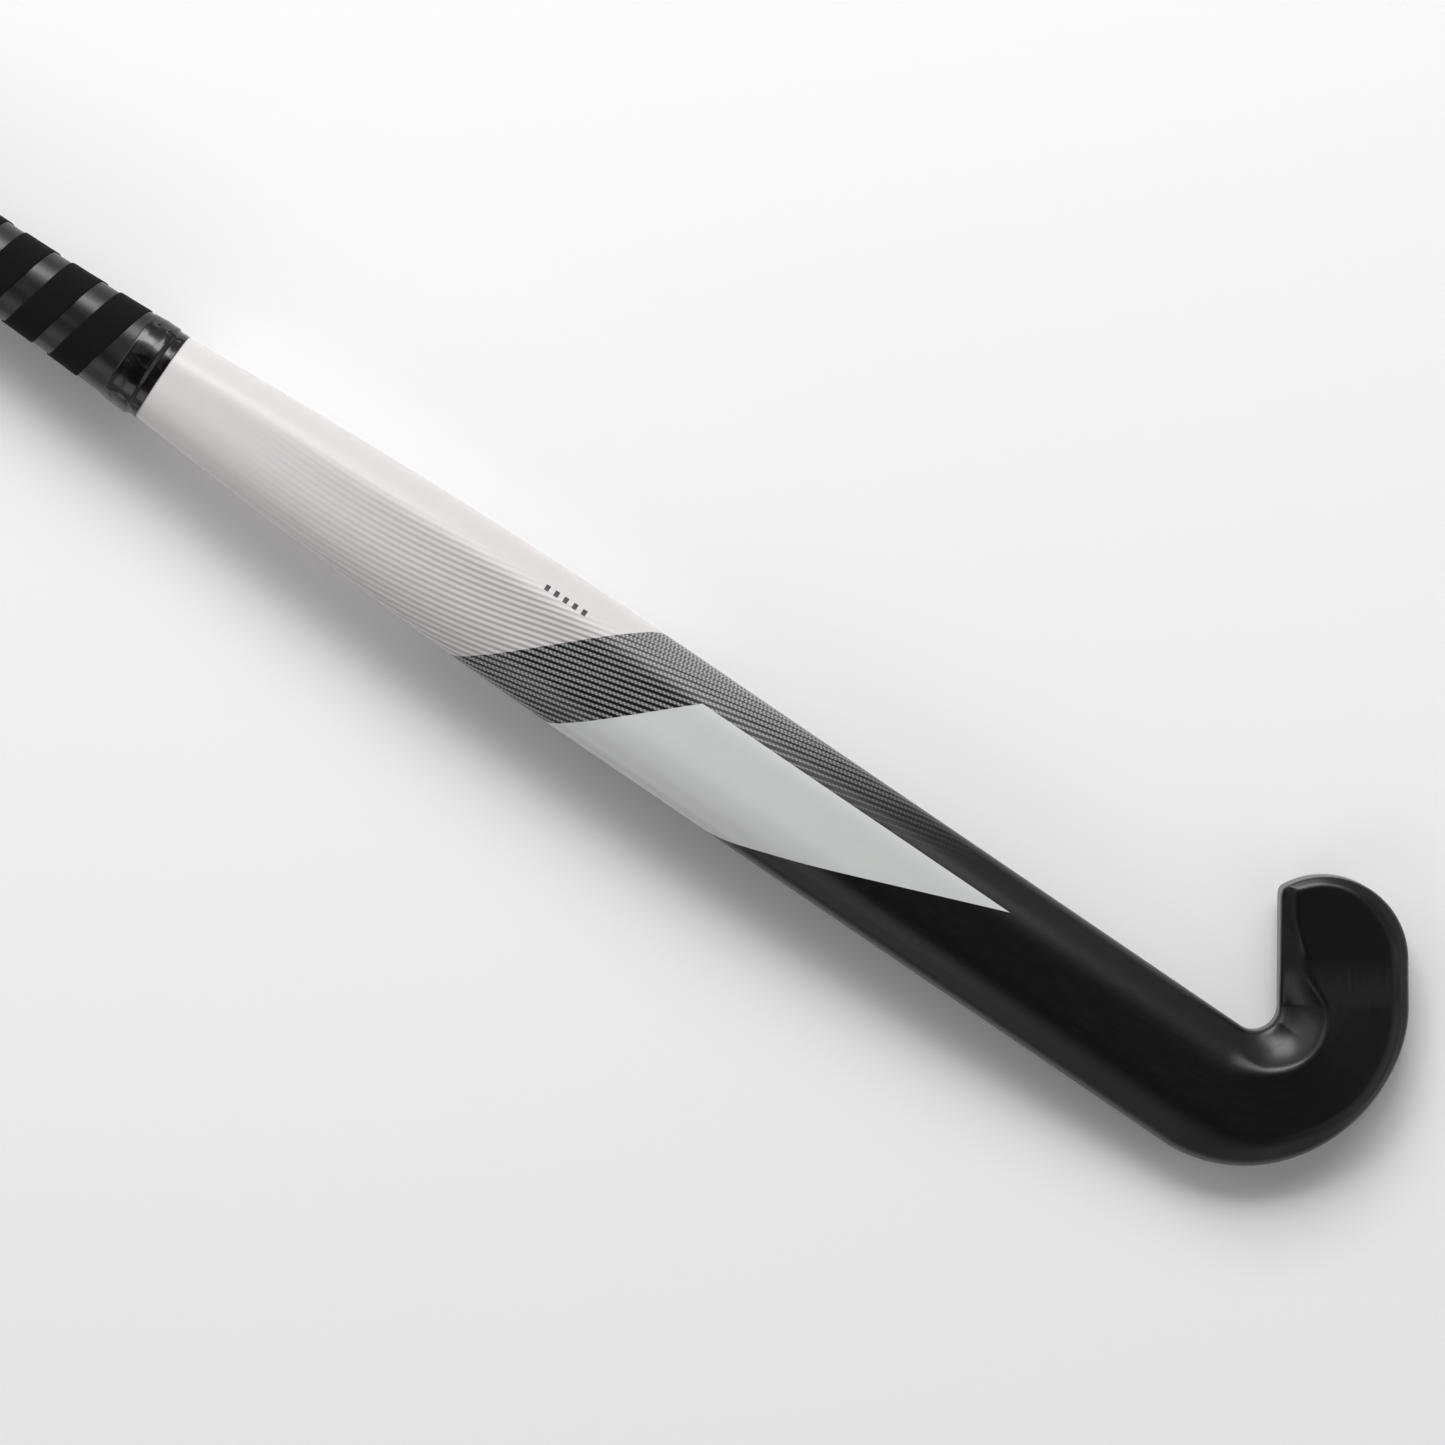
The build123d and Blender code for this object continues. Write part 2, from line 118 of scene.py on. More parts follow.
# ---- the stick's line, worked out as in the CAD model ----
ribbon_growth = wrap_gap + ribbon_thickness
grip_growth = ribbon_growth + ridge_gap + ridge_thickness
bow_reach = bow_peak_from_base - flat_head_length
head_curve = (bow_reach**2 / 2 + bow_reach * flat_head_length) / bow_depth
peak_x = stick_length - bow_peak_from_base
flat_start = stick_length - flat_head_length
shaft_reach = peak_x - grip_length
handle_curve = (shaft_reach**2 / 2 + shaft_reach * grip_length) / (bow_depth - grip_growth)
head_slope = atan(bow_reach / head_curve)
handle_slope = atan(shaft_reach / handle_curve)
butt_x = (handle_thickness + grip_growth) * sin(handle_slope)
cap_seat = butt_x + cap_thickness + bond_gap
base_lean = (base_thickness - base_drop - head_side_round) * sin(head_slope)
bend_x = stick_length - base_reach * cos(head_slope) - base_lean
bend_y = shaft_width / 2 + hook_inner_radius
bend_end = radians(hook_turn - 90)
base_width = base_reach - hook_inner_radius
toe_axis_across = toe_width - toe_end_radius
toe_axis_along = toe_inner_length - sqrt(toe_end_radius**2 - toe_axis_across**2)
hook_run = radians(hook_turn) * (hook_inner_radius + toe_width / 2)
toe_thinning_by_run = 0.8      # the rest of the toe's thinning follows the place along the hook
toe_thinning_ease = 0.4

# The layout's own origin in the row frame: the face plate's box gives the shift along X and Z,
# and the shell's box gives it along Y.
shell_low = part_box("outer_laminate")[0]
plate_low, plate_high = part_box("face_plate")


def face_height(x):
    if x < grip_length:
        return bow_depth - (shaft_reach**2 / 2 + shaft_reach * (grip_length - x)) / handle_curve
    if x < peak_x:
        return bow_depth - (peak_x - x) ** 2 / (2 * handle_curve)
    if x < flat_start:
        return bow_depth - (x - peak_x) ** 2 / (2 * head_curve)
    return bow_depth - (bow_reach**2 / 2 + bow_reach * (x - flat_start)) / head_curve


def face_slope(x):
    if x < grip_length:
        return shaft_reach / handle_curve
    if x < peak_x:
        return (peak_x - x) / handle_curve
    return -min(x - peak_x, bow_reach) / head_curve


# The plate's highest point is its top edge on the head's plane, face_plate_top up from the base.
face_plate_top = 74.0
face_plate_thickness = 0.7
plate_top_x = stick_length - face_plate_top
plate_rise = face_height(plate_top_x) + face_plate_thickness * cos(head_slope)
shift = Vector((
    plate_low[0] / MM - plate_top_x,
    shell_low[1] / MM + shaft_width / 2,
    plate_high[2] / MM - plate_rise,
))


class Section:
    """Local axes of a cross-section: across points to the inner (toe) side, up out of the back."""

    def __init__(self, origin, across, up):
        self.origin, self.across, self.up = origin, across, up

    def at(self, across, up):
        return (self.origin + self.across * across + self.up * up + shift) * MM


def shaft_section(x):
    slope = atan(face_slope(x))
    return Section(Vector((x, 0, face_height(x))), Vector((0, 1, 0)), Vector((-sin(slope), 0, cos(slope))))


head_x = Vector((cos(head_slope), 0, -sin(head_slope)))
head_y = Vector((0, 1, 0))
head_up = Vector((sin(head_slope), 0, cos(head_slope)))
head_origin = Vector((bend_x, bend_y, face_height(bend_x)))


def head_section(angle, along, middle):
    out = head_x * cos(angle) + head_y * sin(angle)
    ahead = head_y * cos(angle) - head_x * sin(angle)
    return Section(head_origin + out * (hook_inner_radius + middle) + ahead * along, -out, head_up)


def mix(a, b, share):
    return a + (b - a) * share


def smooth(share):
    share = min(1.0, max(0.0, share))
    return share * share * (3 - 2 * share)


def eased(keys, place):
    for (low, first), (high, second) in zip(keys, keys[1:]):
        if place <= high:
            return mix(first, second, smooth((place - low) / (high - low)))
    return keys[-1][1]


def shaft_width_at(x):
    if x < grip_length:
        share = max(0.0, 1 - (grip_length - x) / handle_flare_length)
        return mix(handle_width, grip_end_width, share**handle_flare_power)
    left = max(0.0, 1 - (x - grip_length) / shaft_flare_length)
    return mix(shaft_width, grip_end_width, left**2)


def shaft_shape(x):
    width = shaft_width_at(x)
    share = (width - handle_width) / (shaft_width - handle_width)
    bevel = mix(handle_bevel, shaft_bevel, share)
    drop = mix(handle_drop, shaft_drop, share)
    side_round = mix(handle_side_round, shaft_side_round, share)
    face_round = mix(handle_face_round, shaft_face_round, share)
    thickness = mix(handle_thickness, shaft_thickness, share)
    crown_round = mix(handle_crown_round, shaft_crown_round, share)
    half = (bevel, drop, thickness, face_round, side_round, crown_round)
    return width, thickness, half + (0.0,), half + (0.0,)


def head_shape(angle, along):
    """Width, thickness, and the outer and inner halves' sizes, round the hook and along the toe."""
    place = (angle + pi / 2) / (bend_end + pi / 2) + along / toe_axis_along
    heel, base, root, end = (0.36, 0.725, 1.0, 2.0)
    width = eased([(0, shaft_width), (base, base_width), (root, toe_width)], place)
    thickness = eased([(0, shaft_thickness), (base, base_thickness)], place)
    by_place = min(1.0, max(0.0, (place - base) / (end - base)))
    run = hook_run * min(place, 1.0) + along
    by_run = min(1.0, max(0.0, (run - hook_run * base) / (hook_run * (1 - base) + toe_axis_along)))
    eased_run = mix(by_run, smooth(by_run), toe_thinning_ease)
    thinning = mix(smooth(by_place), eased_run, toe_thinning_by_run)
    thickness -= (base_thickness - toe_thickness) * thinning
    face_round = eased([(0, shaft_face_round), (heel, head_face_round)], place)
    outer_crown = eased([(0, shaft_crown_round), (heel, head_crown_round)], place)
    inner_crown = eased(
        [(0, shaft_crown_round), (heel, head_crown_round), (base, scoop_crown_round), (end, toe_crown_round)],
        place,
    )
    outer = (
        eased([(0, shaft_bevel), (heel, heel_bevel), (base, base_bevel), (root, toe_bevel)], place),
        eased([(0, shaft_drop), (base, base_drop), (root, toe_drop)], place),
        thickness,
        face_round,
        eased([(0, shaft_side_round), (base, head_side_round)], place),
        outer_crown,
        0.0,
    )
    inner = (
        eased([(0, shaft_bevel), (base, hook_scoop_width), (end, toe_scoop_width)], place),
        eased([(0, shaft_drop), (base, hook_scoop_drop), (end, toe_scoop_drop)], place),
        thickness,
        face_round,
        eased([(0, shaft_side_round), (heel, head_side_round)], place),
        inner_crown,
        eased([(0, 0.0), (base, hook_scoop_hollow), (end, 0.0)], place),
    )
    return width, thickness, outer, inner


# ---- a half section as points (distance in from the edge, height), plateau to face ----
arc_steps = 7
bevel_steps = 12
side_steps = 4
flat_steps = 7
flat_reach = 100             # far enough in for the plateau and the face to count as flat


def corner_arc(before, here, after, radius):
    """Points of the round that replaces a corner, from the side before to the side after."""
    back = (before - here).normalized()
    ahead = (after - here).normalized()
    half = back.angle(ahead) / 2
    centre = here + (back + ahead).normalized() * (radius / sin(half))
    start = here + back * (radius / tan(half)) - centre
    end = here + ahead * (radius / tan(half)) - centre
    turn = atan2(start.x * end.y - start.y * end.x, start.dot(end))
    points = []
    for i in range(arc_steps + 1):
        a = turn * i / arc_steps
        turned = Vector((start.x * cos(a) - start.y * sin(a), start.x * sin(a) + start.y * cos(a)))
        points.append(centre + turned)
    return points


def half_profile(sizes):
    bevel, drop, top, face_round, side_round, back_round, hollow = sizes
    plateau = Vector((bevel + flat_reach, top))
    back_corner = Vector((bevel, top))
    side_corner = Vector((0, top - drop))
    face_corner = Vector((0, 0))
    face = Vector((flat_reach, 0))
    back = corner_arc(plateau, back_corner, side_corner, back_round)
    side = corner_arc(back_corner, side_corner, face_corner, side_round)
    low = corner_arc(side_corner, face_corner, face, face_round)
    slope = side[0] - back[-1]
    inward = Vector((-slope.y, slope.x)).normalized()
    dished = []
    for i in range(1, bevel_steps):
        t = i / bevel_steps
        dished.append(back[-1] + slope * t + inward * (4 * hollow * t * (1 - t)))
    wall = [side[-1] + (low[0] - side[-1]) * (i / side_steps) for i in range(1, side_steps)]
    return back + dished + side + wall + low


def ring_points(shape, ridge=0.0):
    """Local (across, up) points of the closed section: inner half from the top down, then outer."""
    width, top, outer, inner = shape
    side = width / 2
    inner_half = [Vector((side - p.x, p.y)) for p in half_profile(inner)]
    outer_half = [Vector((p.x - side, p.y)) for p in half_profile(outer)]
    high, low = Vector((ridge, top)), Vector((ridge, 0))

    def filled(half):
        lead = [high + (half[0] - high) * (i / flat_steps) for i in range(1, flat_steps)]
        tail = [half[-1] + (low - half[-1]) * (i / flat_steps) for i in range(1, flat_steps)]
        return lead + half + tail

    return [high] + filled(inner_half) + [low] + filled(outer_half)[::-1]


half_count = len(ring_points(shaft_shape(peak_x))) // 2


def sweeps(points):
    """Distance round the section from its middle line: on the back along the surface, positive
    to the toe side, and on the face in proportion across it, so that patterns meet at the edges."""
    count = len(points)
    result = [0.0] * count
    for step, sign in ((1, 1), (-1, -1)):
        run = points[0].x * sign
        run_at = [run]
        last = points[0]
        for i in range(1, half_count):
            here = points[(i * step) % count]
            run += (here - last).length
            run_at.append(run)
            last = here
        edge_index = half_count - flat_steps
        edge = points[(edge_index * step) % count].x * sign
        for i in range(half_count):
            index = (i * step) % count
            if i <= edge_index:
                result[index] = run_at[i] * sign
            else:
                result[index] = run_at[edge_index] * points[index].x / edge
    low = half_count
    result[low] = result[low - 1] * points[low].x / points[low - 1].x if points[low - 1].x else 0.0
    return result


# ---- the printed pattern, as distances that the paint's nodes turn into colour ----
boundary_at = 155.3         # where the pale paint ends on the middle line, from the grip's end
boundary_slant = 1.05
line_pitch = 2.0
line_flat_at = 59.0
line_bend = 0.00165
line_steep_at = 147.0
line_start_share = 0.6       # the lines bend less before line_flat_at
line_steep_share = 0.9
wedge_at = 194.0
wedge_top = 11.0
wedge_tip = 326.0
wedge_low_height = 3.0
wedge_low_steepness = 2.0    # how sharply the pennant ends above the face
wedge_heel = 236.0
wedge_heel_sweep = -24.0
bead_pitch = 1.35
tick_start = 142.0           # a short row of plain ticks on the pale paint
tick_pitch = 3.6
tick_share = 0.45
tick_count = 5
tick_sweep = 14.0
tick_height = 2.2


def line_rise(along):
    """How far the fine lines have climbed towards the toe side."""
    if along < line_flat_at:
        return line_start_share * line_bend * (along - line_flat_at) ** 2
    if along < line_steep_at:
        return line_bend * (along - line_flat_at) ** 2
    reach = line_steep_at - line_flat_at
    return line_bend * reach**2 + line_steep_share * 2 * line_bend * reach * (along - line_steep_at)


wedge_slope = (wedge_top - wedge_heel_sweep) / (wedge_tip - wedge_heel)


def pattern(along, sweep, height):
    """Facts for the paint at a spot: the pennant stays off the hitting face."""
    low_edge = sweep - wedge_heel_sweep - wedge_slope * (along - wedge_heel)
    from_left = along - wedge_at - boundary_slant * sweep
    from_face = wedge_low_steepness * (height - wedge_low_height)
    return {
        "along": along,
        "sweep": sweep,
        "pale": boundary_at + boundary_slant * sweep - along,
        "phase": (sweep - line_rise(along)) / line_pitch,
        "wedge_left": min(from_left, from_face),
        "wedge_low": low_edge * cos(atan(wedge_slope)),
    }


def finish_mesh(name, points, faces, facts=()):
    """A smooth-shaded object; facts holds one dict a vertex, for the material to read."""
    mesh = bpy.data.meshes.new(name)
    mesh.from_pydata(points, [], faces)
    mesh.validate()
    mesh.update()
    for key in facts[0] if facts else ():
        layer = mesh.attributes.new(key, "FLOAT", "POINT")
        layer.data.foreach_set("value", [fact[key] for fact in facts])
    mesh.polygons.foreach_set("use_smooth", [True] * len(mesh.polygons))
    piece = bpy.data.objects.new(name, mesh)
    bpy.context.scene.collection.objects.link(piece)
    return piece


def bridge(first, second):
    """Quads between two closed rings of vertex numbers."""
    count = len(first)
    return [(first[i], second[i], second[(i + 1) % count], first[(i + 1) % count]) for i in range(count)]


def spaced(start, end, step):
    count = max(1, round((end - start) / step))
    return [mix(start, end, i / count) for i in range(count + 1)]


# ---- the painted shell: shaft, hook and toe in one smooth skin ----
def flattened(point, half, share):
    """A half section's point with the bevel shrunk to a share of its size."""
    drop, top = half[1], half[2]
    edge = top - drop
    if point.y >= edge:
        return point.x * share, top - (top - point.y) * share
    return point.x, point.y * (top - drop * share) / edge


face_inset = 0.04            # the skin's face lies this far inside, so that the face plate shows
face_inset_height = 1.5      # the inset fades out up the side within this height
face_inset_run = 50          # and sets in over this length past the bow's peak
skin_overlap = 6             # the closely spaced rings start this far inside the grip
print_length = 340
ring_spacing_under_grip = 6.0
ring_spacing_in_print = 1.0
ring_spacing_at_neck = 2.5
hook_steps = 130
toe_steps = 14
fan_steps = 96
ridge_share_at_root = 0.45   # how far the toe's ridge line has moved over where the hook ends
corner_softness = 1.1        # rounding of the toe's inner nose corner
corner_spread = 2.5
corner_soft_from, corner_soft_over = 1.0, 0.5          # angles round the toe's nose
nose_bevel_from, nose_bevel_over = 0.5, 1.2
nose_bevel_share = 0.55
scoop_end_share = 0.55
scoop_fade_length = 22.0
hook_print_radius = 30.0     # the print's distances round the hook, along the toe and on its nose
toe_print_start = 65.0
nose_print_at = 80.0


def make_shell():
    points, faces, facts, rings = [], [], [], []

    def add_ring(section, shape, along, ridge=0.0, inset=0.0):
        ring = ring_points(shape, ridge)
        around = sweeps(ring)
        start = len(points)
        for p, sweep in zip(ring, around):
            lift = inset * smooth(1 - p.y / face_inset_height)
            points.append(section.at(p.x, p.y + lift))
            facts.append(pattern(along, sweep, p.y))
        rings.append(list(range(start, start + len(ring))))

    def join_columns(first, second):
        """Faces between two lines over the nose that share their top and bottom points."""
        faces.append((first[0], first[1], second[1]))
        for i in range(1, half_count - 1):
            faces.append((first[i], first[i + 1], second[i + 1], second[i]))
        faces.append((first[half_count - 1], first[half_count], second[half_count - 1]))

    print_start, print_end = grip_length - skin_overlap, grip_length + print_length
    places = spaced(cap_seat, print_start, ring_spacing_under_grip)[:-1]
    places += spaced(print_start, print_end, ring_spacing_in_print)[:-1]
    places += spaced(print_end, bend_x, ring_spacing_at_neck)
    for x in places:
        inset = face_inset * smooth((x - peak_x) / face_inset_run)
        add_ring(shaft_section(x), shaft_shape(x), x - grip_length, 0.0, inset)
    ridge_end = toe_width / 2 - toe_axis_across
    ridge_root = ridge_share_at_root * ridge_end
    bend_along = bend_x - grip_length
    for i in range(1, hook_steps + 1):
        angle = mix(-pi / 2, bend_end, i / hook_steps)
        shape = head_shape(angle, 0.0)
        ridge = ridge_root * smooth(i / hook_steps)
        section = head_section(angle, 0.0, shape[0] / 2)
        add_ring(section, shape, bend_along + hook_print_radius * (angle + pi / 2), ridge, face_inset)
    for i in range(1, toe_steps + 1):
        along = toe_axis_along * i / toe_steps
        shape = head_shape(bend_end, along)
        section = head_section(bend_end, along, shape[0] / 2)
        ridge = mix(ridge_root, ridge_end, smooth(i / toe_steps))
        add_ring(section, shape, bend_along + toe_print_start + along, ridge, face_inset)
    for first, second in zip(rings, rings[1:]):
        faces.extend(bridge(first, second))
    faces.append(tuple(rings[0]))

    # The toe's rounded end: lines fanned about the end arc's axis, from the outer edge round to
    # the inner edge. Each level of the section keeps its distance from both edges.
    top, outer, inner = shape[1:]
    out_levels = half_profile(outer)
    in_levels = half_profile(inner)
    last = rings[-1]
    inner_column = last[: half_count + 1]
    outer_column = [last[0]] + last[: half_count - 1 : -1]
    out = head_x * cos(bend_end) + head_y * sin(bend_end)
    ahead = head_y * cos(bend_end) - head_x * sin(bend_end)
    axis = head_origin + out * (hook_inner_radius + toe_axis_across) + ahead * toe_axis_along
    previous = outer_column
    for k in range(1, fan_steps):
        psi = pi * k / fan_steps
        direction = out * cos(psi) + ahead * sin(psi)
        toward = max(1e-6, -cos(psi))
        column_points = []
        beyond = toe_axis_across * sin(psi) / toward
        narrowing = mix(1.0, scoop_end_share, smooth(beyond / scoop_fade_length))
        flatness = mix(1.0, nose_bevel_share, smooth((psi - nose_bevel_from) / nose_bevel_over))
        soft = corner_softness * smooth((psi - corner_soft_from) / corner_soft_over)
        for po, pin in zip(out_levels, in_levels):
            edge_in, edge_height = flattened(po, outer, flatness)
            r_out = toe_end_radius - edge_in
            r_in = (toe_axis_across - pin.x * narrowing) / toward
            blend = smooth(0.5 + (r_out - r_in) / (2 * corner_softness * corner_spread))
            gap = max(0.0, soft * corner_spread - abs(r_out - r_in))
            radius = min(r_out, r_in) - (gap * gap / (soft * (4 * corner_spread)) if soft > 0 else 0.0)
            height = mix(edge_height, pin.y, blend)
            column_points.append((radius, height))
        first_radius, last_radius = column_points[0][0], column_points[-1][0]
        lead = [(first_radius * i / flat_steps, top) for i in range(1, flat_steps)]
        tail = [(last_radius * (1 - i / flat_steps), 0.0) for i in range(1, flat_steps)]
        column = [last[0]]
        for radius, height in lead + column_points + tail:
            lift = face_inset * smooth(1 - height / face_inset_height)
            spot = axis + direction * radius + head_up * (height + lift) + shift
            column.append(len(points))
            points.append(spot * MM)
            facts.append(pattern(bend_along + nose_print_at, 0.0, height))
        column.append(last[half_count])
        join_columns(previous, column)
        previous = column
    join_columns(previous, inner_column)
    return finish_mesh("painted_shell", points, faces, facts)


# ---- layers wound round the handle ----
ribbon_ring_spacing = 1.5
ribbon_unevenness = 0.05
ridge_steps_per_turn = 120
ridge_sunk = 0.02            # the raised band starts this far inside the ribbon
ridge_waver = 0.16
ridge_breadth_change = 0.02
tape_ring_spacing = 0.25
tape_swell = 0.22
tape_crease = 0.16
tape_step_length = 1.6       # how fast the tape drops off the ribbon's end
ridge_profile = (            # (place across the band, share of its height)
    (-0.5, 0.0), (-0.497, 0.45), (-0.485, 0.8), (-0.465, 0.97), (-0.4, 1.0), (-0.2, 0.96), (0.0, 0.94),
    (0.2, 0.96), (0.4, 1.0), (0.465, 0.97), (0.485, 0.8), (0.497, 0.45), (0.5, 0.0),
)


def outward(points):
    """Normals of a closed ring of points, pointing out of it."""
    count = len(points)
    result = []
    for i in range(count):
        run = points[(i + 1) % count] - points[i - 1]
        result.append(Vector((-run.y, run.x)).normalized())
    return result


def sleeve(name, stations, thickness_in):
    """Closed sleeve round the shaft. stations holds (x, growth function of the ring's share)."""
    points, faces, facts, outer_rings, inner_rings = [], [], [], [], []
    for x, growth in stations:
        ring = ring_points(shaft_shape(x))
        normals = outward(ring)
        section = shaft_section(x)
        around = sweeps(ring)
        count = len(ring)
        for rings, inner in ((outer_rings, False), (inner_rings, True)):
            start = len(points)
            for i, (p, n) in enumerate(zip(ring, normals)):
                reach = thickness_in if inner else growth(i / count)
                spot = p + n * reach
                points.append(section.at(spot.x, spot.y))
                facts.append({"along": x - grip_length, "sweep": around[i]})
            rings.append(list(range(start, start + count)))
    for first, second in zip(outer_rings, outer_rings[1:]):
        faces.extend(bridge(first, second))
    for first, second in zip(inner_rings, inner_rings[1:]):
        faces.extend(bridge(second, first))
    faces.extend(bridge(inner_rings[0], outer_rings[0]))
    faces.extend(bridge(outer_rings[-1], inner_rings[-1]))
    return finish_mesh(name, points, faces, facts)


def make_ribbon():
    def growth_at(x):
        def growth(share):
            ring = Vector((cos(2 * pi * share), sin(2 * pi * share), 0)) * 1.5
            return ribbon_growth + ribbon_unevenness * noise.noise(Vector((ring.x, ring.y, x * 0.08)))
        return growth

    ribbon_end = grip_length - ribbon_end_setback
    stations = [(x, growth_at(x)) for x in spaced(cap_seat, ribbon_end, ribbon_ring_spacing)]
    return sleeve("grip_film", stations, wrap_gap)


ring_angles = {}


def reach_at(x, angle):
    """The handle's outline at an angle round its middle, as (across, up), with its normal."""
    key = round(max(x, grip_length - handle_flare_length) * 2)
    if key not in ring_angles:
        shape = shaft_shape(key / 2)
        ring = ring_points(shape)
        middle = Vector((0, shape[1] / 2))
        polar = sorted((atan2((p - middle).y, (p - middle).x) % (2 * pi), i) for i, p in enumerate(ring))
        ring_angles[key] = (ring, outward(ring), polar)
    ring, normals, polar = ring_angles[key]
    angle %= 2 * pi
    low, high = 0, len(polar)
    while low < high:
        centre = (low + high) // 2
        if polar[centre][0] < angle:
            low = centre + 1
        else:
            high = centre
    after = polar[low % len(polar)]
    before = polar[low - 1]
    span = (after[0] - before[0]) % (2 * pi)
    share = ((angle - before[0]) % (2 * pi)) / span if span > 1e-9 else 0.0
    spot = ring[before[1]].lerp(ring[after[1]], share)
    normal = normals[before[1]].lerp(normals[after[1]], share).normalized()
    return spot, normal


def make_ridge():
    """Raised suede band: one continuous spiral with rounded, slightly uneven edges."""
    room = grip_length - ridge_end_setback - cap_seat - ridge_width
    turns = room / ridge_pitch
    steps = round(turns * ridge_steps_per_turn)
    n = len(ridge_profile)
    points, faces = [], []
    for k in range(steps + 1):
        turn = turns * k / steps
        angle = 2 * pi * turn
        waver = ridge_waver * noise.noise(Vector((turn * 5.0, 3.1, 0.0)))
        breadth = ridge_width * (1 + ridge_breadth_change * noise.noise(Vector((turn * 3.0, 7.7, 0.0))))
        base = len(points)
        for across, rise in ridge_profile:
            x = grip_length - ridge_end_setback - turn * ridge_pitch + across * breadth + waver
            spot, normal = reach_at(x, angle)
            height = (ridge_gap + ridge_thickness + ridge_sunk) * rise
            spot = spot + normal * (ribbon_growth - ridge_sunk + height)
            points.append(shaft_section(x).at(spot.x, spot.y))
        if k:
            for i in range(n - 1):
                faces.append((base - n + i, base + i, base + i + 1, base - n + i + 1))
            faces.append((base - 1, base + n - 1, base, base - n))
    faces.append(tuple(range(n))[::-1])
    faces.append(tuple(range(len(points) - n, len(points))))
    return finish_mesh("grip_suede_band", points, faces)


def make_tape():
    """Glossy finishing tape: stretched over the ribbon's end, creased where it drops to the shaft."""
    start = grip_length - tape_width
    ribbon_end = grip_length - ribbon_end_setback
    over = ribbon_growth + wrap_gap + tape_thickness
    on_shaft = wrap_gap + tape_thickness

    def growth_at(x):
        def growth(share):
            angle = 2 * pi * share
            ring = Vector((cos(angle), sin(angle), 0))
            slant = x + 7.0 * sin(angle + 0.7)
            wobble = 0.7 * noise.noise(ring * 1.5)
            base = mix(over, on_shaft, smooth((x - ribbon_end - wobble + 0.4) / tape_step_length))
            swell = 0.5 + noise.noise(Vector((ring.x * 1.6, ring.y * 1.6, slant * 0.16)))
            fold = 1 - abs(noise.noise(Vector((ring.x * 1.1, ring.y * 1.1, slant * 0.13 + 5.0)))) * 6
            crease = max(0.0, fold) ** 2
            lip = smooth((x - start) / 0.4)
            hold = smooth((x - start) / 2.5) * smooth((grip_length - x) / 1.2)
            return mix(ribbon_growth + 0.06, base, lip) + (tape_swell * swell + tape_crease * crease) * hold
        return growth

    stations = [(x, growth_at(x)) for x in spaced(start, grip_length - 0.05, tape_ring_spacing)]
    return sleeve("grip_end_tape", stations, 0.0)


# ---- materials ----
class Finish:
    """A material and short ways to add nodes to it."""

    def __init__(self, name, roughness):
        self.material = bpy.data.materials.new(name)
        self.material.use_nodes = True
        self.nodes = self.material.node_tree.nodes
        self.links = self.material.node_tree.links
        self.shader = self.nodes["Principled BSDF"]
        self.shader.inputs["Roughness"].default_value = roughness

    def set(self, **values):
        for name, value in values.items():
            self.shader.inputs[name.replace("_", " ")].default_value = value

    def plug(self, socket, value):
        if isinstance(value, bpy.types.NodeSocket):
            self.links.new(value, socket)
        else:
            socket.default_value = value

    def fact(self, name):
        node = self.nodes.new("ShaderNodeAttribute")
        node.attribute_name = name
        return node.outputs["Fac"]

    def math(self, operation, *values, clamp=False):
        node = self.nodes.new("ShaderNodeMath")
        node.operation = operation
        node.use_clamp = clamp
        for socket, value in zip(node.inputs, values):
            self.plug(socket, value)
        return node.outputs[0]

    def ramp(self, value, low, high, first=0.0, last=1.0):
        node = self.nodes.new("ShaderNodeMapRange")
        node.interpolation_type = "SMOOTHSTEP"
        for socket, amount in zip(node.inputs, (value, low, high, first, last)):
            self.plug(socket, amount)
        return node.outputs[0]

    def blend(self, share, first, second):
        node = self.nodes.new("ShaderNodeMix")
        node.data_type = "RGBA"
        self.plug(node.inputs["Factor"], share)
        self.plug(node.inputs["A"], first)
        self.plug(node.inputs["B"], second)
        return next(s for s in node.outputs if s.type == "RGBA")

    def join(self, x, y, z=0.0):
        node = self.nodes.new("ShaderNodeCombineXYZ")
        for socket, value in zip(node.inputs, (x, y, z)):
            self.plug(socket, value)
        return node.outputs[0]

    def place(self, scale=(1.0, 1.0, 1.0), turn=(0.0, 0.0, 0.0)):
        """The point's own position in metres, scaled."""
        where = self.nodes.new("ShaderNodeTexCoord")
        node = self.nodes.new("ShaderNodeMapping")
        node.inputs["Scale"].default_value = scale
        node.inputs["Rotation"].default_value = turn
        self.links.new(where.outputs["Object"], node.inputs["Vector"])
        return node.outputs[0]

    def noise(self, vector, scale, detail=2.0, roughness=0.5):
        node = self.nodes.new("ShaderNodeTexNoise")
        self.plug(node.inputs["Vector"], vector)
        node.inputs["Scale"].default_value = scale
        node.inputs["Detail"].default_value = detail
        node.inputs["Roughness"].default_value = roughness
        return node.outputs["Fac"]

    def cells(self, vector, scale):
        node = self.nodes.new("ShaderNodeTexVoronoi")
        self.plug(node.inputs["Vector"], vector)
        node.inputs["Scale"].default_value = scale
        return node.outputs["Distance"]

    def colour(self, value):
        self.plug(self.shader.inputs["Base Color"], value)

    def gloss(self, value):
        self.plug(self.shader.inputs["Roughness"], value)

    def relief(self, height, depth, strength):
        """Bump of a height socket, depth in metres."""
        node = self.nodes.new("ShaderNodeBump")
        node.inputs["Strength"].default_value = strength
        node.inputs["Distance"].default_value = depth
        self.links.new(height, node.inputs["Height"])
        self.links.new(node.outputs[0], self.shader.inputs["Normal"])


def grey(level, tint=(1.0, 1.0, 1.0)):
    return (level * tint[0], level * tint[1], level * tint[2], 1.0)


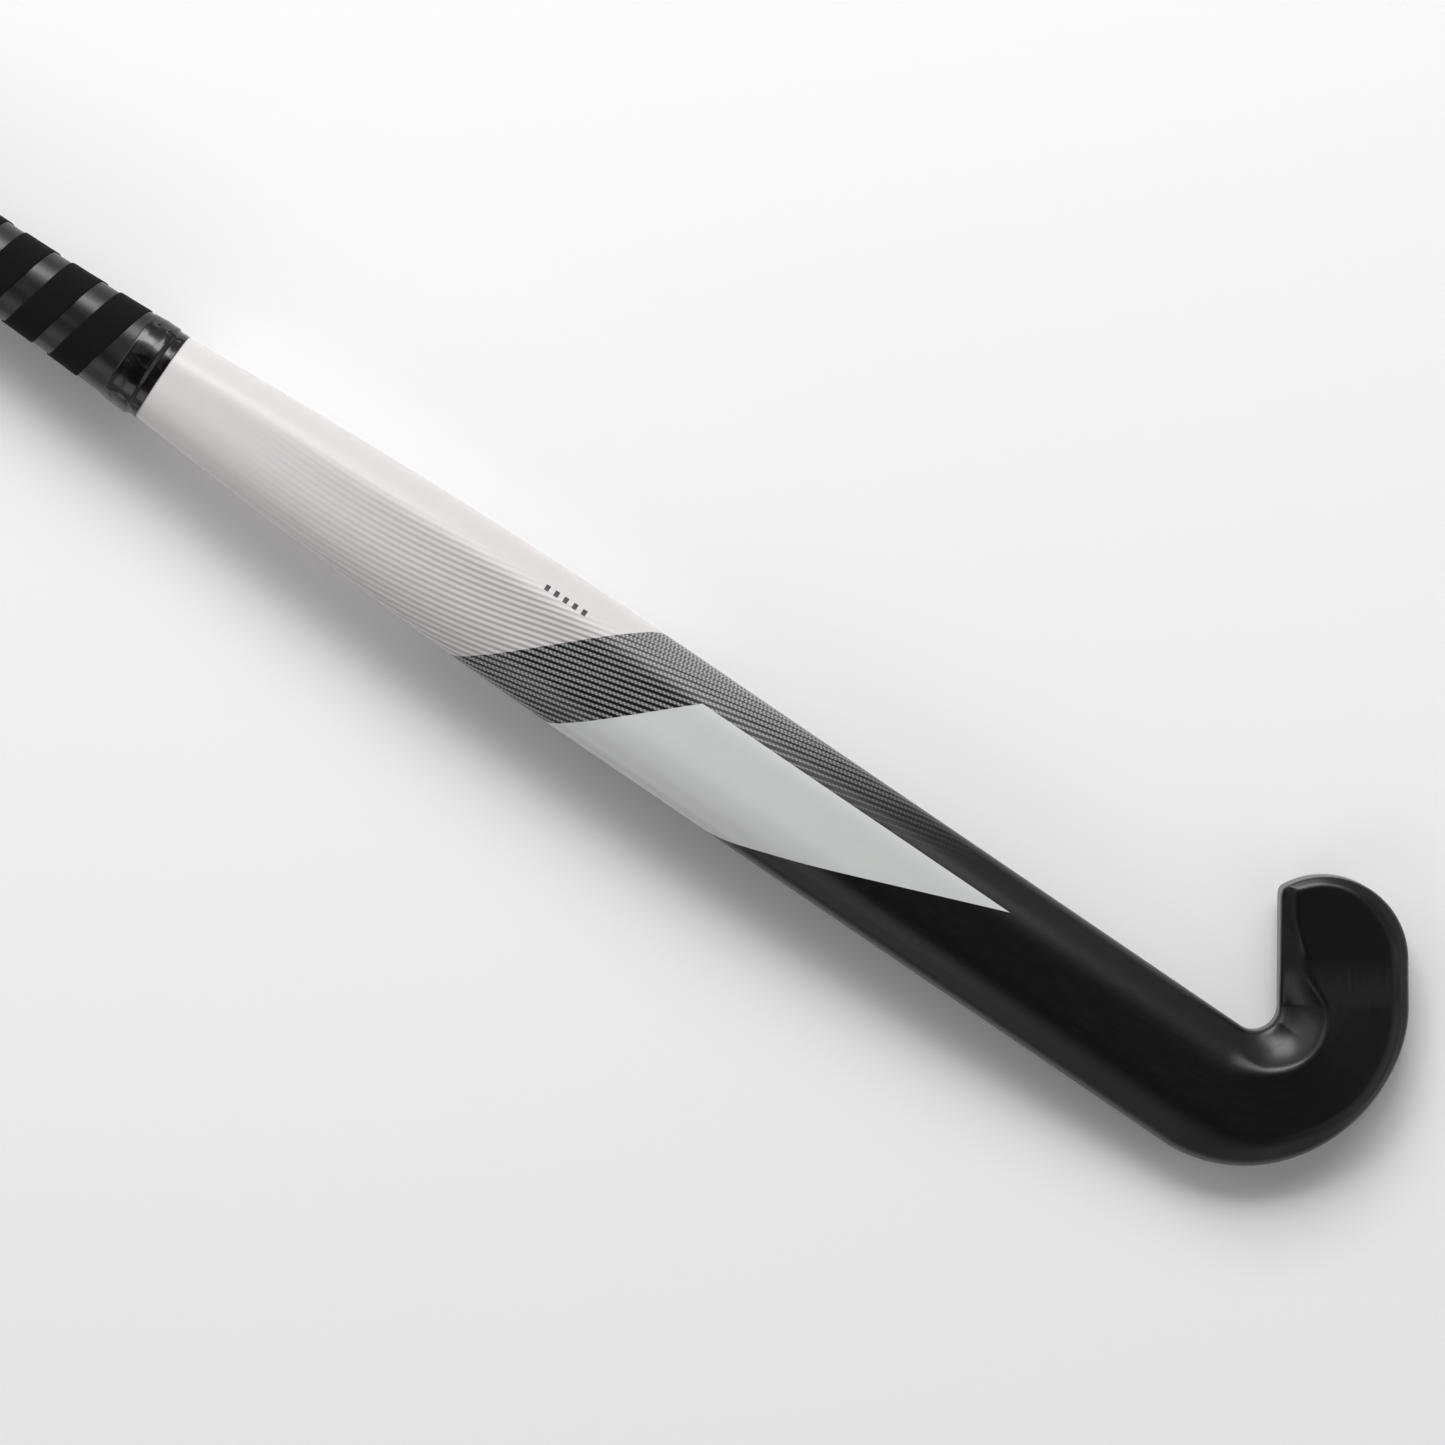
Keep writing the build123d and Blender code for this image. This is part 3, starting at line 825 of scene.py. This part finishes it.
def paint_finish():
    """Satin paint: pale next to the grip, black beyond, with fine printed lines."""
    m = Finish("satin_paint", roughness=0.36)
    m.set(Coat_Weight=0.3, Coat_Roughness=0.22, Coat_IOR=1.45, Specular_IOR_Level=0.4)
    along, sweep = m.fact("along"), m.fact("sweep")
    pale_run, phase = m.fact("pale"), m.fact("phase")
    far = m.math("MULTIPLY", pale_run, -1.0)
    pale = m.ramp(pale_run, -0.15, 0.15)

    # each printed line wanders a little and is broken into beads along its run
    number = m.math("FLOOR", phase)
    across = m.math("ABSOLUTE", m.math("SUBTRACT", m.math("FRACT", phase), 0.5))
    wander = m.noise(m.join(m.math("MULTIPLY", along, 0.05), m.math("MULTIPLY", number, 1.9), 4.0), 1.0, 1.0)
    swing = m.math("MULTIPLY", m.math("SUBTRACT", wander, 0.5), 0.12)
    bead_turn = m.math("ADD", m.math("MULTIPLY", along, 2 * pi / bead_pitch), m.math("MULTIPLY", number, 2.6))
    bead = m.math("MULTIPLY_ADD", m.math("SINE", bead_turn), 0.5, 0.5)

    # grey lines on the pale paint: none at the grip, strong at the boundary, none at the toe side
    dark_line = m.ramp(m.math("ADD", across, swing), 0.05, 0.42, 1.0, 0.0)
    toe_fade = m.ramp(m.math("ADD", sweep, m.math("MULTIPLY", pale_run, 0.04)), 9.0, 17.0, 1.0, 0.0)
    grip_fade = m.ramp(along, 20.0, 165.0, 0.0, 1.0)
    dark_line = m.math("MULTIPLY", dark_line, toe_fade)
    dark_line = m.math("MULTIPLY", dark_line, m.math("MULTIPLY", grip_fade, 0.66))

    # beaded pale lines on the black, thinning out towards the head and closing up at the toe side
    share = m.math("ADD", m.ramp(far, 0.0, 125.0, 0.27, 0.06), m.ramp(sweep, 10.0, 21.0, 0.0, 0.2))
    middle = m.math("SUBTRACT", 0.5, across)
    light_line = m.ramp(m.math("SUBTRACT", m.math("ADD", share, swing), middle), -0.08, 0.08)
    strength = m.ramp(far, 30.0, 135.0, 1.0, 0.0)
    light_line = m.math("MULTIPLY", light_line, strength)
    light_tone = m.blend(bead, grey(0.085), grey(0.42))

    # plain dark ticks on the pale paint, in a short row
    tick_run = m.math("SUBTRACT", along, tick_start)
    tick_on = m.math("LESS_THAN", m.math("FRACT", m.math("DIVIDE", tick_run, tick_pitch)), tick_share)
    tick_on = m.math("MULTIPLY", tick_on, m.math("GREATER_THAN", tick_run, 0.0))
    tick_on = m.math("MULTIPLY", tick_on, m.math("LESS_THAN", tick_run, tick_pitch * tick_count))
    tick_away = m.math("ABSOLUTE", m.math("SUBTRACT", sweep, tick_sweep))
    tick_on = m.math("MULTIPLY", tick_on, m.math("LESS_THAN", tick_away, tick_height / 2))

    # the plain pennant
    inside = m.math("MINIMUM", m.fact("wedge_left"), m.fact("wedge_low"))
    inside = m.math("MINIMUM", inside, m.math("SUBTRACT", wedge_top, sweep))
    pennant = m.ramp(inside, -0.1, 0.1)

    mottle = m.noise(m.place(), 160.0, 3.0)
    white = m.blend(mottle, grey(0.67, (1.0, 0.945, 0.95)), grey(0.72, (1.0, 0.945, 0.95)))
    white = m.blend(dark_line, white, grey(0.16, (1.0, 0.95, 0.97)))
    white = m.blend(tick_on, white, grey(0.02))
    black = m.blend(mottle, grey(0.0012), grey(0.0022, (1.0, 1.0, 1.1)))
    black = m.blend(light_line, black, light_tone)
    pennant_paint = m.blend(mottle, grey(0.62, (0.98, 1.0, 0.985)), grey(0.67, (0.98, 1.0, 0.985)))
    base = m.blend(pale, black, white)
    m.colour(m.blend(pennant, base, pennant_paint))

    # light wear: fine long scuffs, and a little orange peel in the lacquer
    scuff = m.noise(m.join(m.math("MULTIPLY", along, 0.05), m.math("MULTIPLY", sweep, 1.2)), 2.0, 4.0, 0.6)
    m.gloss(m.ramp(scuff, 0.35, 0.75, 0.34, 0.44))
    m.relief(m.noise(m.place(), 420.0, 2.0), 0.00003, 0.3)
    return m.material


def film_finish():
    """Satin polyurethane film between the raised bands."""
    m = Finish("grip_film", roughness=0.4)
    m.set(IOR=1.5, Coat_Weight=0.3, Coat_Roughness=0.33)
    grain = m.noise(m.place(), 900.0, 3.0, 0.6)
    smear = m.noise(m.place((1.0, 3.0, 3.0)), 60.0, 3.0)
    m.colour(m.blend(smear, grey(0.006), grey(0.012)))
    m.gloss(m.ramp(smear, 0.3, 0.7, 0.32, 0.42))
    m.relief(m.math("ADD", grain, m.math("MULTIPLY", smear, 2.0)), 0.00005, 0.3)
    return m.material


def suede_finish():
    """Matte brushed surface of the raised band, with a short nap."""
    m = Finish("grip_suede", roughness=0.92)
    m.set(Sheen_Weight=0.04, Sheen_Roughness=0.5, Specular_IOR_Level=0.12)
    nap = m.noise(m.place(), 1400.0, 4.0, 0.7)
    patches = m.noise(m.place(), 70.0, 3.0)
    tone = m.blend(patches, grey(0.003), grey(0.005))
    m.colour(m.blend(nap, tone, grey(0.008)))
    m.relief(nap, 0.00025, 0.8)
    return m.material


def tape_finish():
    """Glossy stretched vinyl tape."""
    m = Finish("tape_vinyl", roughness=0.2)
    m.set(IOR=1.53, Coat_Weight=0.3, Coat_Roughness=0.08)
    along, sweep = m.fact("along"), m.fact("sweep")
    stretch = m.noise(m.join(m.math("MULTIPLY", along, 0.22), m.math("MULTIPLY", sweep, 0.09)), 1.0, 2.0, 0.5)
    m.colour(m.blend(stretch, grey(0.002), grey(0.005)))
    m.gloss(m.ramp(stretch, 0.3, 0.7, 0.18, 0.30))
    m.relief(stretch, 0.00015, 0.3)
    return m.material


def weave_finish(name, pitch, dark, light, roughness, lacquer):
    """Twill of flat fibre bundles: pitch is one bundle's width in metres. The bundles that lie over are
    coloured lighter than the crossing ones, a painted sheen.
    """
    m = Finish(name, roughness=roughness)
    m.set(Coat_Weight=lacquer, Coat_Roughness=0.06)
    where = m.nodes.new("ShaderNodeSeparateXYZ")
    m.links.new(m.place((1 / pitch, 1 / pitch, 1 / pitch), (0.0, 0.0, radians(45))), where.inputs[0])
    x, y = where.outputs["X"], where.outputs["Y"]
    column, row = m.math("FLOOR", x), m.math("FLOOR", y)
    turn = m.math("FRACT", m.math("MULTIPLY", m.math("ADD", column, row), 0.25))
    over = m.math("LESS_THAN", turn, 0.49)
    crown_x = m.math("SINE", m.math("MULTIPLY", m.math("FRACT", x), pi))
    crown_y = m.math("SINE", m.math("MULTIPLY", m.math("FRACT", y), pi))
    fibres = m.noise(m.place(), 2.2 / pitch, 2.0)
    crown = m.nodes.new("ShaderNodeMix")
    m.plug(crown.inputs["Factor"], over)
    m.plug(crown.inputs["A"], crown_y)
    m.plug(crown.inputs["B"], crown_x)
    height = crown.outputs[0]
    # painted sheen: the over bundles take the lighter colour, though both ways are the same fibre
    tone = m.blend(over, dark, light)
    m.colour(m.blend(m.math("MULTIPLY", fibres, 0.35), tone, dark))
    m.relief(height, pitch * 0.08, 0.5)
    return m.material


def foam_finish(name, first, second, cell):
    """Rigid closed-cell foam: small open pits in a mottled body."""
    m = Finish(name, roughness=0.85)
    pits = m.cells(m.place(), 1 / cell)
    patches = m.noise(m.place(), 50.0, 3.0)
    m.colour(m.blend(patches, first, second))
    m.relief(pits, cell * 0.4, 0.7)
    return m.material


def rubber_finish():
    """Moulded rubber: fine spark-eroded texture and rings turned about the cap's middle."""
    m = Finish("cap_rubber", roughness=0.62)
    m.set(Specular_IOR_Level=0.35)
    grain = m.noise(m.place(), 1800.0, 3.0, 0.6)
    wear = m.noise(m.place(), 90.0, 4.0, 0.6)
    low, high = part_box("butt_cap")
    middle = (low + high) / 2
    where = m.nodes.new("ShaderNodeTexCoord")
    away = m.nodes.new("ShaderNodeVectorMath")
    away.operation = "SUBTRACT"
    m.links.new(where.outputs["Object"], away.inputs[0])
    away.inputs[1].default_value = middle
    flat = m.nodes.new("ShaderNodeVectorMath")
    flat.operation = "MULTIPLY"
    m.links.new(away.outputs[0], flat.inputs[0])
    flat.inputs[1].default_value = (0.0, 1.0, 1.0)
    size = m.nodes.new("ShaderNodeVectorMath")
    size.operation = "LENGTH"
    m.links.new(flat.outputs[0], size.inputs[0])
    rings = m.math("SINE", m.math("MULTIPLY", size.outputs["Value"], 2 * pi / 0.0016))
    m.colour(m.blend(wear, grey(0.012), grey(0.024)))
    m.gloss(m.ramp(wear, 0.3, 0.7, 0.55, 0.72))
    m.relief(m.math("ADD", m.math("MULTIPLY", rings, 0.8), m.math("MULTIPLY", grain, 0.5)), 0.00018, 0.6)
    return m.material


def nylon_finish():
    m = Finish("bladder_nylon", roughness=0.3)
    m.set(Transmission_Weight=0.35, IOR=1.5)
    cloud = m.noise(m.place((1.0, 4.0, 4.0)), 40.0, 3.0)
    m.colour(m.blend(cloud, grey(0.55, (1.0, 0.97, 0.85)), grey(0.7, (1.0, 0.98, 0.9))))
    m.relief(m.noise(m.place(), 300.0, 3.0), 0.0003, 0.4)
    return m.material


def dress(piece, material):
    piece.data.materials.clear()
    piece.data.materials.append(material)


shell = make_shell()
dress(shell, paint_finish())
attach(shell, "root")
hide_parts("outer_laminate")

ribbon = make_ribbon()
dress(ribbon, film_finish())
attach(ribbon, "root")
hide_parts("grip_ribbon")

ridge = make_ridge()
dress(ridge, suede_finish())
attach(ridge, "root")
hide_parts("grip_ridge_strip")

tape = make_tape()
dress(tape, tape_finish())
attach(tape, "root")
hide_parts("finishing_tape")

carbon = weave_finish("carbon_tube", 0.0022, grey(0.004), grey(0.02), 0.35, 0.4)
plate = weave_finish("face_composite", 0.0020, grey(0.003), grey(0.016), 0.3, 1.0)
aramid = weave_finish("aramid", 0.0016, grey(0.35, (1.0, 0.72, 0.2)), grey(0.5, (1.0, 0.78, 0.28)), 0.55, 0.3)
core = foam_finish("core_foam", grey(0.5, (1.0, 0.9, 0.66)), grey(0.6, (1.0, 0.93, 0.72)), 0.0012)
plug = foam_finish("plug_foam", grey(0.45, (1.0, 0.96, 0.88)), grey(0.55, (1.0, 0.97, 0.9)), 0.0018)
nylon = nylon_finish()

dress(nodes["butt_cap"], rubber_finish())
dress(nodes["face_plate"], plate)
dress(nodes["edge_strip"], aramid)
dress(nodes["head_core"], core)
dress(nodes["handle_plug"], plug)
for name in ("front_tube", "rear_tube"):
    dress(nodes[name], carbon)
for name in ("front_bladder", "rear_bladder"):
    dress(nodes[name], nylon)

# ---- floor, light and camera ----
bpy.ops.mesh.primitive_plane_add(size=8.0, location=(0.0, 0.0, min(0.0, cad_box[0][2])))
floor = bpy.context.object
floor.name = "studio_floor"
floor_finish = Finish("floor_white", roughness=0.9)
floor_finish.set(Specular_IOR_Level=0.0)
floor_finish.colour(grey(0.99))
floor.data.materials.append(floor_finish.material)


lamp_distance = 2.4


def lamp_at(name, azimuth, zenith, size, radiance):
    """A square soft box in a direction from the stick's middle; azimuth is from +X towards +Y."""
    flat, rise = sin(radians(zenith)), cos(radians(zenith))
    spot = Vector((cos(radians(azimuth)) * flat, sin(radians(azimuth)) * flat, rise)) * lamp_distance
    data = bpy.data.lights.new(name, "AREA")
    data.shape = "RECTANGLE"
    data.size = data.size_y = size
    data.energy = radiance * pi * size * size
    lamp = bpy.data.objects.new(name, data)
    bpy.context.scene.collection.objects.link(lamp)
    facing = (-spot).to_track_quat("-Z", "X").to_matrix().to_4x4()
    lamp.matrix_world = Matrix.Translation(spot) @ facing

lamp_at("key", 128.0, 46.0, 1.5, 6.2)
lamp_at("butt_side_fill", 178.0, 52.0, 1.9, 0.9)
lamp_at("head_side_fill", 10.0, 52.0, 1.9, 0.5)
lamp_at("toe_side_fill", 90.0, 38.0, 0.9, 3.6)
lamp_at("heel_side_fill", 270.0, 50.0, 1.2, 1.0)

# the room is dim overhead and brighter towards the horizon
world = bpy.data.worlds.new("studio")
bpy.context.scene.world = world
world.use_nodes = True
sky = world.node_tree
direction = sky.nodes.new("ShaderNodeTexCoord")
height = sky.nodes.new("ShaderNodeSeparateXYZ")
sky.links.new(direction.outputs["Generated"], height.inputs[0])
glow = sky.nodes.new("ShaderNodeMapRange")
glow.interpolation_type = "SMOOTHSTEP"
for socket, amount in zip(list(glow.inputs)[1:5], (0.35, 0.9, 0.32, 0.01)):
    socket.default_value = amount
sky.links.new(height.outputs["Z"], glow.inputs["Value"])
sky.links.new(glow.outputs[0], sky.nodes["Background"].inputs["Strength"])
sky.nodes["Background"].inputs["Color"].default_value = (1.0, 1.0, 1.0, 1.0)

camera_data = bpy.data.cameras.new("camera")
camera_data.lens = 600.0
camera_data.sensor_width = 36.0
camera_data.clip_end = 60.0
camera = bpy.data.objects.new("camera", camera_data)
bpy.context.scene.collection.objects.link(camera)
camera_turn = radians(34.2)
picture_width = 0.47315
camera_height = picture_width * camera_data.lens / camera_data.sensor_width
camera.location = (0.1346, -0.0209, 0.03 + camera_height)
camera.rotation_euler = (0.0, 0.0, camera_turn)
bpy.context.scene.camera = camera
bpy.context.scene.view_settings.view_transform = "Standard"
bpy.context.view_layer.update()
